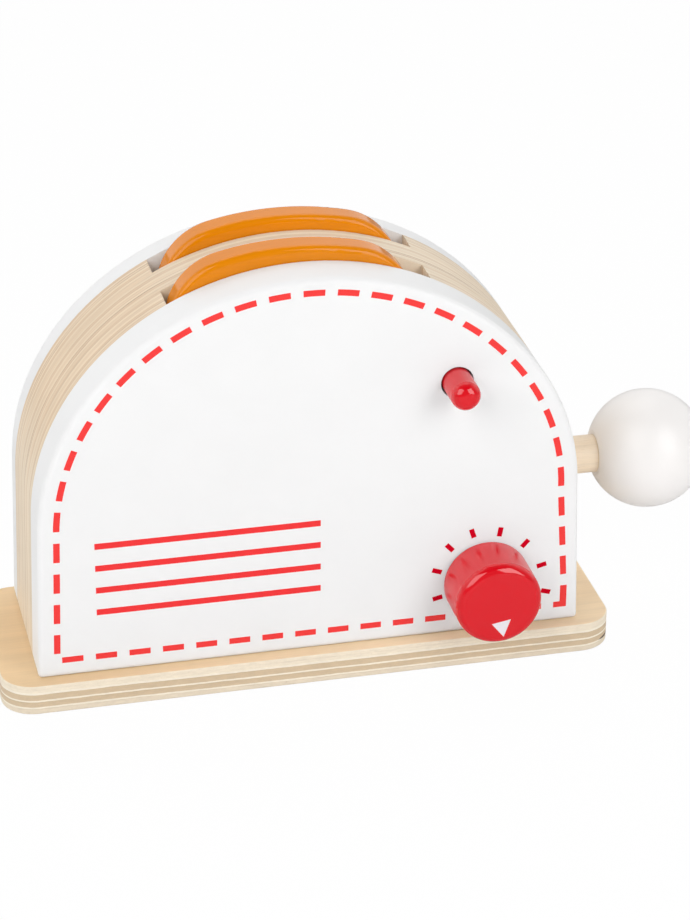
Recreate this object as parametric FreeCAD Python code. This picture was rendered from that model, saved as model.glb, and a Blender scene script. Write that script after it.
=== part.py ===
import FreeCAD, Part
import math
import os

# Wooden pop-up toy toaster, in millimetres.
# +Z is up, +X is towards the lever, -Y is the front face with the dial.
# The origin is the middle of the base board's underside.

# ---- driving dimensions -------------------------------------------------

# base board
base_length = 207.0
base_thickness = 10.5
base_corner_radius = 11.0
base_edge_radius = 0.6

# body outline, shared by every upright board
body_width = 180.0        # across the spring line of the arch
side_height = 50.0        # base board to spring line
arch_rise = 83.0          # spring line to the top of the arch
side_lean = 0.03          # how far each side leans out, per mm downwards
foot_corner_radius = 1.2

# upright boards, front to back
front_margin = 4.5        # base board that shows in front of the body
rear_margin = 2.0         # and behind it
front_panel_thickness = 15.0
rear_panel_thickness = 10.0
panel_edge_radius = 1.8

# toast slots
slot_end_room = 2.5       # at each end of a slice
slot_side_room = 0.5      # on each face of a slice
slot_centre_x = -1.0
slot_floor_height = 8.5   # web left under each slot

# toast slices
slice_width = 81.0
slice_height = 90.0
slice_thickness = 10.0
slice_crown_radius = 100.0
slice_shoulder_radius = 22.5
slice_foot_radius = 9.0
slice_edge_radius = 2.0
front_slice_x = -2.9
rear_slice_x = -0.9

# lever: a ball on a dowel that slides down in the divider
lever_height = 44.5       # dowel axis above the base board, lever up
lever_travel = 28.0
lever_dowel_diameter = 13.0
lever_side_room = 1.0     # between the dowel and the boards beside it
lever_tenon_diameter = 7.0
lever_tenon_length = 16.0
ball_diameter = 40.8
ball_x = 124.6
ball_flat_depth = 1.6     # turned flat where the dowel goes in
ball_socket_depth = 14.0

# lift block inside the divider
block_skin = 0.5          # wood between the lever's tenon and the catch tab
block_rod_margin = 6.0    # block left beyond the rod furthest from the lever
block_end_margin = 5.3    # block left beyond the latch, towards the lever
rest_pin_diameter = 6.0
rest_pin_spacing = 36.0
well_end_gap = 2.0        # room at each end of the block
well_floor_height = 3.0   # web left under the lift well

# guide rods and lift springs
rod_diameter = 4.0
rod_spacing = 58.0
rod_socket_depth = 16.0
lift_spring_radius = 3.4  # to the middle of the wire
lift_spring_wire = 0.8
lift_spring_turns = 8

# release button
button_x = 47.6
button_z = 103.2
button_diameter = 9.8
button_gap = 0.55         # around the button in its hole
button_protrusion = 13.7
button_end_radius = 3.8
button_travel = 4.5
button_wall = 6.0         # panel left in front of the button's flange
button_flange_ledge = 2.05 # flange that catches behind the hole's rim
button_flange_thickness = 2.0
button_spring_radius = 4.0
button_spring_wire = 0.5
button_spring_turns = 3

# latch lever, behind the button
latch_width = 5.0         # also the button's stem and the catch tab
latch_thickness = 3.0
latch_setback = 5.0       # front panel's back to the latch
latch_pivot_drop = 35.1   # button axis to latch pivot
latch_top_rise = 5.0      # latch above the button axis
latch_pin_diameter = 3.0
latch_pin_seat = 5.5      # pin held in the wood beyond the latch
latch_boss_diameter = 7.0
latch_nose_height = 2.0
latch_nose_reach = 2.5
latch_spring_rise = 8.5   # spring axis above the nose
latch_spring_radius = 1.9
latch_spring_wire = 0.4
latch_spring_turns = 3
latch_recess_depth = 3.5  # divider cut away behind the latch's top

# catch tab on the lift block
tab_thickness = 2.0
tab_reach = 3.0           # in front of the lift block
tab_seat = 11.0           # lying on the lift block
tab_screw_diameter = 2.2
tab_screw_head = 4.0
tab_screw_length = 9.0    # long enough to pin the lever's tenon

# dial
dial_x = 59.0
dial_z = 29.2
dial_diameter = 29.2
dial_thickness = 18.0
dial_edge_radius = 3.2
dial_back_radius = 0.5
dial_shaft_diameter = 8.0
dial_socket_depth = 9.0
dial_wall = 10.0          # panel that the dial's shaft turns in
washer_lip = 4.0          # washer wider than the shaft, all round
washer_thickness = 1.2
dial_screw_diameter = 3.0
dial_screw_length = 12.0
dial_screw_head = 7.0
dial_screw_head_height = 2.2

# fixings
frame_dowel_diameter = 6.0
frame_dowel_sink = 6.0    # into the front and rear panels
upper_dowel_x = 66.0
upper_dowel_z = 88.0
lower_dowel_left = (-70.0, 20.0)
lower_dowel_right = (78.0, 16.0)
base_screw_x = 84.0
base_screw_diameter = 3.6
base_screw_head = 8.0
base_screw_length = 28.0
base_screw_sink = 0.4

# clearances
running = 0.05            # radial, shaft in bore
slide_gap = 0.3           # beside a curved face that stops or slides
side_gap = 0.5            # flat faces that slide past each other
seat_gap = 0.3            # piece resting on a round pin
coil_gap = 0.05           # spring end to its seat
coil_steps = 12           # points per turn of a spring's path

# ---- places worked out from them -----------------------------------------

slot_width = slice_width + 2 * slot_end_room
slot_layer_thickness = slice_thickness + 2 * slot_side_room
divider_thickness = lever_dowel_diameter + 2 * lever_side_room
body_depth = (front_panel_thickness + 2 * slot_layer_thickness + divider_thickness
              + rear_panel_thickness)
base_depth = front_margin + body_depth + rear_margin
button_hole_diameter = button_diameter + 2 * button_gap
button_flange_diameter = button_hole_diameter + 2 * button_flange_ledge
button_stem_diameter = latch_width
tab_width = latch_width
washer_diameter = dial_shaft_diameter + 2 * washer_lip
block_height = lever_tenon_diameter + 2 * (tab_thickness + block_skin)

base_top = base_thickness
front_face_y = -base_depth / 2 + front_margin
front_slot_y = front_face_y + front_panel_thickness
divider_y = front_slot_y + slot_layer_thickness
rear_slot_y = divider_y + divider_thickness
rear_panel_y = rear_slot_y + slot_layer_thickness
rear_face_y = rear_panel_y + rear_panel_thickness
divider_mid_y = divider_y + divider_thickness / 2

spring_z = base_top + side_height
body_top_z = spring_z + arch_rise
lever_z = base_top + lever_height
lever_radius = lever_dowel_diameter / 2

rod_xs = [slot_centre_x - rod_spacing / 2, slot_centre_x + rod_spacing / 2]
rest_pin_xs = [slot_centre_x - rest_pin_spacing / 2, slot_centre_x + rest_pin_spacing / 2]
block_left_x = rod_xs[0] - block_rod_margin
block_bottom_z = lever_z - block_height / 2
block_top_z = lever_z + block_height / 2
block_right_x = button_x + block_end_margin
block_depth = divider_thickness - 2 * side_gap
block_y = divider_y + side_gap
well_floor_z = base_top + well_floor_height
well_top_z = lever_z + lever_radius + slide_gap
well_left_x = block_left_x - well_end_gap
well_right_x = block_right_x + well_end_gap
lever_slot_bottom_z = lever_z - lever_travel - lever_radius - slide_gap

slot_left_x = slot_centre_x - slot_width / 2
slot_right_x = slot_centre_x + slot_width / 2
slot_floor_z = base_top + slot_floor_height

latch_front_y = front_slot_y + latch_setback
latch_back_y = latch_front_y + latch_thickness
latch_pivot_y = latch_front_y + latch_thickness / 2
latch_pivot_z = button_z - latch_pivot_drop
latch_left_x = button_x - latch_width / 2
latch_pocket_width = latch_width + 2 * slide_gap
latch_nose_z = block_top_z - lever_travel + slide_gap
latch_top_z = button_z + latch_top_rise
latch_spring_z = latch_nose_z + latch_spring_rise
pocket_bottom_z = latch_nose_z - lever_radius
pocket_top_z = latch_top_z + side_gap * 4

button_flange_y = front_face_y + button_wall + slide_gap
dial_face_y = front_face_y - seat_gap - dial_thickness
shaft_end_y = front_face_y + dial_wall + seat_gap
far = 4 * (base_length + body_width)   # longer than anything it cuts

X = FreeCAD.Vector(1, 0, 0)
Y = FreeCAD.Vector(0, 1, 0)
Z = FreeCAD.Vector(0, 0, 1)


# ---- small tools -----------------------------------------------------------

def vec(x, y, z):
    return FreeCAD.Vector(x, y, z)


def block(x0, x1, y0, y1, z0, z1):
    """Box between two opposite corners."""
    return Part.makeBox(x1 - x0, y1 - y0, z1 - z0, vec(x0, y0, z0))


def rod(diameter, length, start, direction):
    """Round bar from a start point along a direction."""
    return Part.makeCylinder(diameter / 2, length, start, direction)


def round_edges(shape, radius, chosen):
    """Fillet the edges that the chosen test picks."""
    edges = [edge for edge in shape.Edges if chosen(edge)]
    return shape.makeFillet(radius, edges)


def lies_at(edge, axis, value):
    """True if the whole edge lies in one plane across an axis."""
    box = edge.BoundBox
    low, high = {"x": (box.XMin, box.XMax), "y": (box.YMin, box.YMax), "z": (box.ZMin, box.ZMax)}[axis]
    return abs(low - value) < 1e-4 and abs(high - value) < 1e-4


def runs_along(edge, axis):
    """True for a straight edge parallel to an axis."""
    if not isinstance(edge.Curve, Part.Line):
        return False
    direction = edge.Curve.Direction
    return abs(abs(direction.dot(axis)) - 1) < 1e-6


def coil(mean_radius, wire, turns, start, direction, length):
    """Round-wire compression spring between two seats."""
    rise = length - wire - 2 * coil_gap
    steps = turns * coil_steps
    points = []
    for step in range(steps + 1):
        angle = 2 * math.pi * step / coil_steps
        points.append(vec(mean_radius * math.cos(angle), mean_radius * math.sin(angle), rise * step / steps))
    curve = Part.BSplineCurve()
    curve.interpolate(points)
    path = curve.toShape()
    circle = Part.Circle(points[0], path.tangentAt(path.FirstParameter), wire / 2).toShape()
    solid = Part.Wire(path).makePipeShell([Part.Wire(circle)], True, True)
    solid.translate(vec(0, 0, wire / 2 + coil_gap))
    turn = FreeCAD.Rotation(Z, direction)
    solid.Placement = FreeCAD.Placement(start, turn).multiply(solid.Placement)
    return solid


def wood_screw(diameter, head, length):
    """Countersunk screw with its head's face at the origin, pointing up +Z."""
    tip = diameter
    drive = head / 4
    cone = Part.makeCone(head / 2, diameter / 2, (head - diameter) / 2)
    shank = Part.makeCylinder(diameter / 2, length - tip)
    point = Part.makeCone(diameter / 2, diameter / 8, tip, vec(0, 0, length - tip))
    slot = diameter / 4
    recess = block(-drive, drive, -slot / 2, slot / 2, -1, diameter / 3)
    cross = block(-slot / 2, slot / 2, -drive, drive, -1, diameter / 3)
    return cone.fuse([shank, point]).cut(recess).cut(cross).removeSplitter()


def aimed(shape, place, direction):
    """Copy of a shape made along +Z, set at a place along a direction."""
    copy = shape.copy()
    copy.Placement = FreeCAD.Placement(place, FreeCAD.Rotation(Z, direction))
    return copy


# ---- body boards -------------------------------------------------------------

def outline_face():
    """Arch outline of the body in the XZ plane: leaning sides under a half ellipse."""
    semi_width = body_width / 2
    start = math.atan(side_lean * arch_rise / semi_width)
    ellipse_x = semi_width * math.cos(start)
    ellipse_z = spring_z + arch_rise * math.sin(start)
    foot_x = ellipse_x + side_lean * (ellipse_z - base_top)
    top = vec(0, 0, body_top_z)
    right = vec(ellipse_x, 0, ellipse_z)
    left = vec(-ellipse_x, 0, ellipse_z)
    centre = vec(0, 0, spring_z)
    if semi_width >= arch_rise:
        ellipse = Part.Ellipse(vec(semi_width, 0, spring_z), top, centre)
    else:
        ellipse = Part.Ellipse(top, vec(semi_width, 0, spring_z), centre)
    first, last = sorted([ellipse.parameter(right), ellipse.parameter(left)])
    arch = ellipse.toShape(first, last)
    if abs(arch.valueAt((first + last) / 2).z - body_top_z) > arch_rise:
        arch = ellipse.toShape(last, first + 2 * math.pi)
    foot_right = vec(foot_x, 0, base_top)
    foot_left = vec(-foot_x, 0, base_top)
    corners = [right, foot_right, foot_left, left]
    sides = [Part.makeLine(a, b) for a, b in zip(corners, corners[1:])]
    wire = Part.Wire(Part.__sortEdges__([arch] + sides))
    return Part.Face(wire)


def board(front_y, thickness):
    """One upright board with the body's outline, its two foot corners eased."""
    solid = outline_face().extrude(vec(0, thickness, 0))
    solid.translate(vec(0, front_y, 0))
    at_foot = lambda edge: runs_along(edge, Y) and lies_at(edge, "z", base_top)
    return round_edges(solid, foot_corner_radius, at_foot)


def frame_dowel_places():
    """X and Z of the dowels that line the boards up."""
    upper = [(-upper_dowel_x, upper_dowel_z), (upper_dowel_x, upper_dowel_z)]
    return upper + [lower_dowel_left, lower_dowel_right]


def frame_dowel_shapes():
    start_y = front_slot_y - frame_dowel_sink
    length = rear_panel_y + frame_dowel_sink - start_y
    return [rod(frame_dowel_diameter, length, vec(x, start_y, z), Y) for x, z in frame_dowel_places()]


def base_screw_places():
    """Feet of the screws, under the middle of the front and rear panels."""
    front = front_face_y + front_panel_thickness / 2
    rear = rear_panel_y + rear_panel_thickness / 2
    return [vec(side * base_screw_x, y, base_screw_sink) for side in (-1, 1) for y in (front, rear)]


def base_screw_shapes():
    screw = wood_screw(base_screw_diameter, base_screw_head, base_screw_length)
    return [aimed(screw, place, Z) for place in base_screw_places()]


def screw_pilots():
    """Holes that the base screws bite into, in the front and rear panels."""
    depth = base_screw_length + base_screw_sink
    return [rod(base_screw_diameter, depth - base_top, vec(place.x, place.y, base_top), Z)
            for place in base_screw_places()]


def base_board():
    plate = block(-base_length / 2, base_length / 2, -base_depth / 2, base_depth / 2, 0, base_thickness)
    plate = round_edges(plate, base_corner_radius, lambda edge: runs_along(edge, Z))
    plate = round_edges(plate, base_edge_radius, lambda edge: lies_at(edge, "z", base_thickness))
    plate = round_edges(plate, base_edge_radius, lambda edge: lies_at(edge, "z", 0))
    hole = base_screw_diameter / 2 + side_gap
    head = base_screw_head / 2 + running
    for place in base_screw_places():
        bore = Part.makeCylinder(hole, far, vec(place.x, place.y, -1))
        seat = Part.makeCone(head, hole, head - hole, vec(place.x, place.y, base_screw_sink))
        mouth = Part.makeCylinder(head, base_screw_sink + 1, vec(place.x, place.y, -1))
        plate = plate.cut(bore).cut(seat).cut(mouth)
    return plate


def front_panel():
    panel = board(front_face_y, front_panel_thickness)
    panel = round_edges(panel, panel_edge_radius, lambda edge: lies_at(edge, "y", front_face_y))
    button_axis = vec(button_x, front_face_y, button_z)
    flange_seat = vec(button_x, front_face_y + button_wall, button_z)
    dial_axis = vec(dial_x, front_face_y, dial_z)
    washer_seat = vec(dial_x, front_face_y + dial_wall, dial_z)
    cuts = [
        rod(button_hole_diameter, far, button_axis - Y, Y),
        rod(button_flange_diameter + 2 * slide_gap, far, flange_seat, Y),
        rod(dial_shaft_diameter + 2 * running, far, dial_axis - Y, Y),
        rod(washer_diameter + 2 * side_gap, far, washer_seat, Y),
    ]
    return panel.cut(cuts + frame_dowel_shapes() + screw_pilots())


def slot_cut(front_y):
    """Toast slot, open at the top."""
    back_y = front_y + slot_layer_thickness
    return block(slot_left_x, slot_right_x, front_y - 1, back_y + 1, slot_floor_z, body_top_z + 1)


def latch_pocket():
    """Room for the latch lever in the front slot frame, right of the slot."""
    half = latch_pocket_width / 2
    left, right = button_x - half, button_x + half
    return block(left, right, front_slot_y - 1, divider_y + 1, pocket_bottom_z, pocket_top_z)


def latch_pin_shape():
    end_x = button_x + latch_width / 2 + latch_pin_seat
    return rod(latch_pin_diameter, end_x - slot_right_x, vec(slot_right_x, latch_pivot_y, latch_pivot_z), X)


def front_slot_frame():
    frame = board(front_slot_y, slot_layer_thickness)
    return frame.cut([slot_cut(front_slot_y), latch_pocket(), latch_pin_shape()] + frame_dowel_shapes())


def rear_slot_frame():
    frame = board(rear_slot_y, slot_layer_thickness)
    return frame.cut([slot_cut(rear_slot_y)] + frame_dowel_shapes())


def guide_rod_shapes():
    top_z = well_top_z + rod_socket_depth
    return [rod(rod_diameter, top_z - base_top, vec(x, divider_mid_y, base_top), Z) for x in rod_xs]


def divider():
    """Middle board, with the well for the lift block and the lever's side slot."""
    middle = board(divider_y, divider_thickness)
    back_y = rear_slot_y + 1
    well = block(well_left_x, well_right_x, divider_y - 1, back_y, well_floor_z, well_top_z)
    lever_slot = block(button_x, far, divider_y - 1, back_y, lever_slot_bottom_z, well_top_z)
    half = latch_pocket_width / 2
    recess = block(button_x - half, button_x + half, divider_y - 1, divider_y + latch_recess_depth,
                   well_top_z, pocket_top_z)
    return middle.cut([well, lever_slot, recess] + guide_rod_shapes() + frame_dowel_shapes())


def rear_panel():
    panel = board(rear_panel_y, rear_panel_thickness)
    panel = round_edges(panel, panel_edge_radius, lambda edge: lies_at(edge, "y", rear_face_y))
    return panel.cut(frame_dowel_shapes() + screw_pilots())


# ---- lever, lift block and springs ---------------------------------------------

def lever_bar():
    """Dowel from the lift block into the ball, turned down to a tenon at its inner end."""
    end_x = ball_x - ball_diameter / 2 + ball_socket_depth
    bar = rod(lever_dowel_diameter, end_x - block_right_x, vec(block_right_x, divider_mid_y, lever_z), X)
    tenon_x = block_right_x - lever_tenon_length
    tenon = rod(lever_tenon_diameter, lever_tenon_length, vec(tenon_x, divider_mid_y, lever_z), X)
    return bar.fuse(tenon).removeSplitter()


def lever_dowel():
    return lever_bar().cut(catch_screw_room())


def lever_ball():
    ball = Part.makeSphere(ball_diameter / 2, vec(ball_x, divider_mid_y, lever_z))
    mouth_x = ball_x - ball_diameter / 2
    start = vec(mouth_x - 1, divider_mid_y, lever_z)
    flat = rod(ball_diameter, ball_flat_depth + 1, start, X)
    bore = rod(lever_dowel_diameter + 2 * running, ball_socket_depth + 1, start, X)
    return ball.cut([flat, bore])


def rest_pin_shapes():
    start_y = front_slot_y + side_gap
    length = rear_panel_y - side_gap - start_y
    return [rod(rest_pin_diameter, length, vec(x, start_y, lever_z), Y) for x in rest_pin_xs]


def catch_tab():
    """Steel tab let into the lift block's top, with its lip in front of the block."""
    left = button_x - tab_width / 2
    plate = block(left, left + tab_width, block_y - tab_reach, block_y + tab_seat,
                  block_top_z - tab_thickness, block_top_z)
    return plate.cut(catch_screw_room())


def catch_screw():
    screw = wood_screw(tab_screw_diameter, tab_screw_head, tab_screw_length)
    return aimed(screw, vec(button_x, divider_mid_y, block_top_z), -Z)


def catch_screw_room():
    """Countersink and pilot hole of the screw that holds the tab."""
    depth = (tab_screw_head - tab_screw_diameter) / 2
    sink = Part.makeCone(tab_screw_head / 2, tab_screw_diameter / 2, depth)
    pilot = Part.makeCylinder(tab_screw_diameter / 2, tab_screw_length)
    return aimed(sink.fuse(pilot), vec(button_x, divider_mid_y, block_top_z), -Z)


def lift_block():
    body = block(block_left_x, block_right_x, block_y, block_y + block_depth, block_bottom_z, block_top_z)
    bores = [rod(rod_diameter + 2 * running, far, vec(x, divider_mid_y, 0), Z) for x in rod_xs]
    left = button_x - tab_width / 2
    rebate = block(left, left + tab_width, block_y - 1, block_y + tab_seat,
                   block_top_z - tab_thickness, block_top_z + 1)
    return body.cut(bores + rest_pin_shapes() + [rebate, catch_screw_room(), lever_bar()])


def lift_spring_shapes():
    length = block_bottom_z - well_floor_z
    seats = [vec(x, divider_mid_y, well_floor_z) for x in rod_xs]
    return [coil(lift_spring_radius, lift_spring_wire, lift_spring_turns, seat, Z, length) for seat in seats]


# ---- release button and latch ----------------------------------------------------

def release_button():
    """Peg with a flange that stops it behind the panel, and a stem that reaches the latch."""
    front_y = front_face_y - button_protrusion
    peg = rod(button_diameter, button_flange_y - front_y, vec(button_x, front_y, button_z), Y)
    peg = round_edges(peg, button_end_radius, lambda edge: lies_at(edge, "y", front_y))
    flange = rod(button_flange_diameter, button_flange_thickness, vec(button_x, button_flange_y, button_z), Y)
    stem_y = button_flange_y + button_flange_thickness
    tip_y = latch_front_y - slide_gap
    stem = rod(button_stem_diameter, tip_y - stem_y, vec(button_x, stem_y, button_z), Y)
    stem = round_edges(stem, button_stem_diameter * 0.4, lambda edge: lies_at(edge, "y", tip_y))
    return peg.fuse([flange, stem]).removeSplitter()


def button_spring():
    start_y = button_flange_y + button_flange_thickness
    return coil(button_spring_radius, button_spring_wire, button_spring_turns,
                vec(button_x, start_y, button_z), Y, front_slot_y - start_y)


def latch_lever():
    """Upright lever: the button pushes its top back, so its nose swings forward off the tab."""
    right_x = latch_left_x + latch_width
    bar = block(latch_left_x, right_x, latch_front_y, latch_back_y, latch_nose_z, latch_top_z)
    tip_y = latch_back_y + latch_nose_reach
    top_z = latch_nose_z + latch_nose_height
    corners = [(latch_back_y - running, latch_nose_z), (tip_y, latch_nose_z),
               (tip_y, latch_nose_z + latch_nose_height * 0.4), (latch_back_y - running, top_z)]
    points = [vec(latch_left_x, y, z) for y, z in corners]
    nose = Part.Face(Part.makePolygon(points + points[:1])).extrude(vec(latch_width, 0, 0))
    boss = rod(latch_boss_diameter, latch_width, vec(latch_left_x, latch_pivot_y, latch_pivot_z), X)
    bore = rod(latch_pin_diameter + 2 * running, far, vec(-far / 2, latch_pivot_y, latch_pivot_z), X)
    return bar.fuse([nose, boss]).removeSplitter().cut(bore)


def latch_spring():
    return coil(latch_spring_radius, latch_spring_wire, latch_spring_turns,
                vec(button_x, front_slot_y, latch_spring_z), Y, latch_setback)


# ---- dial ------------------------------------------------------------------------

def dial_shaft_shape():
    start_y = front_face_y - seat_gap - dial_socket_depth
    return rod(dial_shaft_diameter, shaft_end_y - start_y, vec(dial_x, start_y, dial_z), Y)


def dial_screw():
    """Pan-head screw that holds the washer on the shaft's inner end."""
    head_y = shaft_end_y + washer_thickness
    shank_length = dial_screw_length + washer_thickness
    shank = rod(dial_screw_diameter, shank_length, vec(dial_x, head_y - shank_length, dial_z), Y)
    head = rod(dial_screw_head, dial_screw_head_height, vec(dial_x, head_y, dial_z), Y)
    back_y = head_y + dial_screw_head_height
    head = round_edges(head, dial_screw_head_height * 0.4, lambda edge: lies_at(edge, "y", back_y))
    reach = dial_screw_head / 4
    half = dial_screw_diameter / 8
    depth = dial_screw_head_height / 2
    slot = block(dial_x - reach, dial_x + reach, back_y - depth, back_y + 1, dial_z - half, dial_z + half)
    cross = block(dial_x - half, dial_x + half, back_y - depth, back_y + 1, dial_z - reach, dial_z + reach)
    return head.fuse(shank).cut([slot, cross]).removeSplitter()


def dial_washer():
    centre = vec(dial_x, shaft_end_y, dial_z)
    disc = rod(washer_diameter, washer_thickness, centre, Y)
    return disc.cut(rod(dial_screw_diameter, washer_thickness, centre, Y))


def dial_shaft():
    bore = rod(dial_screw_diameter, dial_screw_length, vec(dial_x, shaft_end_y - dial_screw_length, dial_z), Y)
    return dial_shaft_shape().cut(bore)


def dial_knob():
    knob = rod(dial_diameter, dial_thickness, vec(dial_x, dial_face_y, dial_z), Y)
    back_y = dial_face_y + dial_thickness
    knob = round_edges(knob, dial_edge_radius, lambda edge: lies_at(edge, "y", dial_face_y))
    knob = round_edges(knob, dial_back_radius, lambda edge: lies_at(edge, "y", back_y))
    return knob.cut(dial_shaft_shape())


# ---- toast ---------------------------------------------------------------------------

def toast_slice(centre_x, slot_y):
    """Bread-shaped board: straight sides, rounded shoulders and a crowned top."""
    bottom_z = lever_z + rest_pin_diameter / 2 + seat_gap
    top_z = bottom_z + slice_height
    half = slice_width / 2
    sag = slice_crown_radius - math.sqrt(slice_crown_radius ** 2 - half ** 2)
    shoulder_z = top_z - sag
    y = slot_y + (slot_layer_thickness - slice_thickness) / 2
    right, left = vec(half, y, shoulder_z), vec(-half, y, shoulder_z)
    crown = Part.Arc(left, vec(0, y, top_z), right).toShape()
    corners = [right, vec(half, y, bottom_z), vec(-half, y, bottom_z), left]
    sides = [Part.makeLine(a, b) for a, b in zip(corners, corners[1:])]
    bread = Part.Face(Part.Wire([crown] + sides)).extrude(vec(0, slice_thickness, 0))
    feet = lambda edge: runs_along(edge, Y) and lies_at(edge, "z", bottom_z)
    shoulders = lambda edge: runs_along(edge, Y) and lies_at(edge, "z", shoulder_z)
    rims = lambda edge: lies_at(edge, "y", y) or lies_at(edge, "y", y + slice_thickness)
    bread = round_edges(bread, slice_foot_radius, feet)
    bread = round_edges(bread, slice_shoulder_radius, shoulders)
    bread = round_edges(bread, slice_edge_radius, rims)
    bread.translate(vec(centre_x, 0, 0))
    return bread


# ---- nodes ---------------------------------------------------------------------------

def main():
    nodes = {
        "base_board": base_board(),
        "front_panel": front_panel(),
        "front_slot_frame": front_slot_frame(),
        "divider": divider(),
        "rear_slot_frame": rear_slot_frame(),
        "rear_panel": rear_panel(),
        "frame_dowels": Part.makeCompound(frame_dowel_shapes()),
        "base_screws": Part.makeCompound(base_screw_shapes()),
        "lever_ball": lever_ball(),
        "lever_dowel": lever_dowel(),
        "lift_block": lift_block(),
        "rest_pins": Part.makeCompound(rest_pin_shapes()),
        "catch_tab": catch_tab(),
        "catch_screw": catch_screw(),
        "guide_rods": Part.makeCompound(guide_rod_shapes()),
        "lift_springs": Part.makeCompound(lift_spring_shapes()),
        "release_button": release_button(),
        "button_spring": button_spring(),
        "latch_lever": latch_lever(),
        "latch_pin": latch_pin_shape(),
        "latch_spring": latch_spring(),
        "dial_knob": dial_knob(),
        "dial_shaft": dial_shaft(),
        "dial_washer": dial_washer(),
        "dial_screw": dial_screw(),
        "front_slice": toast_slice(front_slice_x, front_slot_y),
        "rear_slice": toast_slice(rear_slice_x, rear_slot_y),
    }
    os.makedirs("parts", exist_ok=True)
    for name, shape in nodes.items():
        shape.exportStep("parts/" + name + ".step")
        print(name, "valid" if shape.isValid() else "INVALID", len(shape.Solids), round(shape.Volume, 1))


main()
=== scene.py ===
import bpy
import bmesh
import math
from mathutils import Matrix, Vector


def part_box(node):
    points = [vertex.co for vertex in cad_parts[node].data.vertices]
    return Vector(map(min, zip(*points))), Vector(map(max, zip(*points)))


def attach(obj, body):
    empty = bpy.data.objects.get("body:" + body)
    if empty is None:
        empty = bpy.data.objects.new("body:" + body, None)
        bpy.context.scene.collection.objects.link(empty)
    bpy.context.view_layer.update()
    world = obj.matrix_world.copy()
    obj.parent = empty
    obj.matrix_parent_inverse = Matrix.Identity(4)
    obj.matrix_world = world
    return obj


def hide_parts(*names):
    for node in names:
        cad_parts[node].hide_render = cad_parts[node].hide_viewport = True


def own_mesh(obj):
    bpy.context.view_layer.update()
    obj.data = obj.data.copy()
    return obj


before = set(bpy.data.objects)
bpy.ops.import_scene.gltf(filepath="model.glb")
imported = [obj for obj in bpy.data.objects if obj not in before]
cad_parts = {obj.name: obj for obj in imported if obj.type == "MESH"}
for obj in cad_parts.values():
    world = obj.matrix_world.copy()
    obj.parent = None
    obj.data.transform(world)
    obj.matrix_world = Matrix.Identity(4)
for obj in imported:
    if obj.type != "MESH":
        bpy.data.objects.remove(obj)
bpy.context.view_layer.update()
MM = 0.001


def millimetres(node):
    """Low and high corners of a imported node's box."""
    return [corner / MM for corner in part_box(node)]


# ---- sizes of the printed marks, in millimetres -----------------------------

FRONT_FACE_Y = millimetres("front_panel")[0].y
DIAL_FACE_Y = millimetres("dial_knob")[0].y
PRINT_THICKNESS = 0.05
POINTER_THICKNESS = 0.02

# The dashes follow half an ellipse that stands on two leaning sides.
LINE_CENTRE_Z = 61.1
LINE_HALF_WIDTH = 83.9
LINE_RISE = 77.9
LINE_LEAN_RIGHT, LINE_LEAN_LEFT = 0.06, 0.031
LINE_SWAY = 1.2           # how far the top of the arch lies to the left
LINE_SWAY_POWER = 3       # the higher, the more of the sway is gathered at the top
LINE_FOOT_Z = 16.75
PATH_STEPS = 720

DASH_WIDTH, DASH_LENGTH = 2.1, 7.0
DASH_STEPS = 6
RIGHT_DASH_TOP_Z, RIGHT_DASHES = 65.2, 3    # the side's highest dash, and how many below it
LEFT_DASH_TOP_Z, LEFT_DASHES = 67.6, 4
SIDE_PITCH = 11.18
ARCH_STEPS = 22           # from the top dash of one side to that of the other
ARCH_BOW = 0.5            # how far the arch's dashes are moved on to the left, at most
ARCH_BOW_LEAN = 0.75      # below 1, that happens to the right of the arch's middle
FOOT_PITCH = 11.09
FIRST_FOOT_DASH_X = -80.2
FOOT_DASHES = 15
CORNER_LEFT, CORNER_RIGHT, CORNER_TOP, CORNER_WIDTH = 82.8, 87.3, 23.9, 2.3

STRIPE_LEFT, STRIPE_RIGHT = -71.8, 2.55
STRIPE_HEIGHTS = (57.25, 49.22, 41.19, 33.16)
STRIPE_WIDTH = 2.15

# The ticks' middles lie on a ring that is a little out of round, and they aim at one point.
TICK_X, TICK_Z = 60.8, 27.0
TICK_REACH_X, TICK_REACH_Z, TICK_SKEW = 19.1, 20.7, -1.6
TICK_AIM_X, TICK_AIM_Z = 60.0, 28.2
TICK_LENGTH, TICK_WIDTH = 3.35, 1.7
TICK_ANGLES = [-8.5 + 28.6 * step for step in range(8)]
POINTER = ((56.1, 22.8), (62.56, 23.88), (60.28, 17.56))


# ---- mesh tools -------------------------------------------------------------

def mesh_object(name, verts, faces, material, body):
    """New piece in the row frame, in metres, that moves with a body."""
    data = bpy.data.meshes.new(name)
    data.from_pydata([Vector(v) * MM for v in verts], [], faces)
    data.validate()
    piece = bpy.data.objects.new(name, data)
    bpy.context.scene.collection.objects.link(piece)
    data.materials.append(material)
    mesh = bmesh.new()
    mesh.from_mesh(data)
    bmesh.ops.recalc_face_normals(mesh, faces=mesh.faces)
    mesh.to_mesh(data)
    mesh.free()
    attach(piece, body)
    return piece


def add_plate(verts, faces, outline, back_y, front_y):
    """Adds a closed thin plate to lists of corners and faces; the outline is (x, z) points.

    An even outline is filled with quads, like a ladder between its two halves.
    """
    first = len(verts)
    count = len(outline)
    verts.extend((x, back_y, z) for x, z in outline)
    verts.extend((x, front_y, z) for x, z in outline)
    fill = [range(count)]
    if count % 2 == 0:
        rungs = range(count // 2 - 1)
        fill = [(rung, rung + 1, count - 2 - rung, count - 1 - rung) for rung in rungs]
    for face in fill:
        faces.append([first + index for index in face])
        faces.append([first + count + index for index in reversed(face)])
    for index in range(count):
        after = (index + 1) % count
        faces.append([first + index, first + count + index, first + count + after, first + after])


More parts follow.
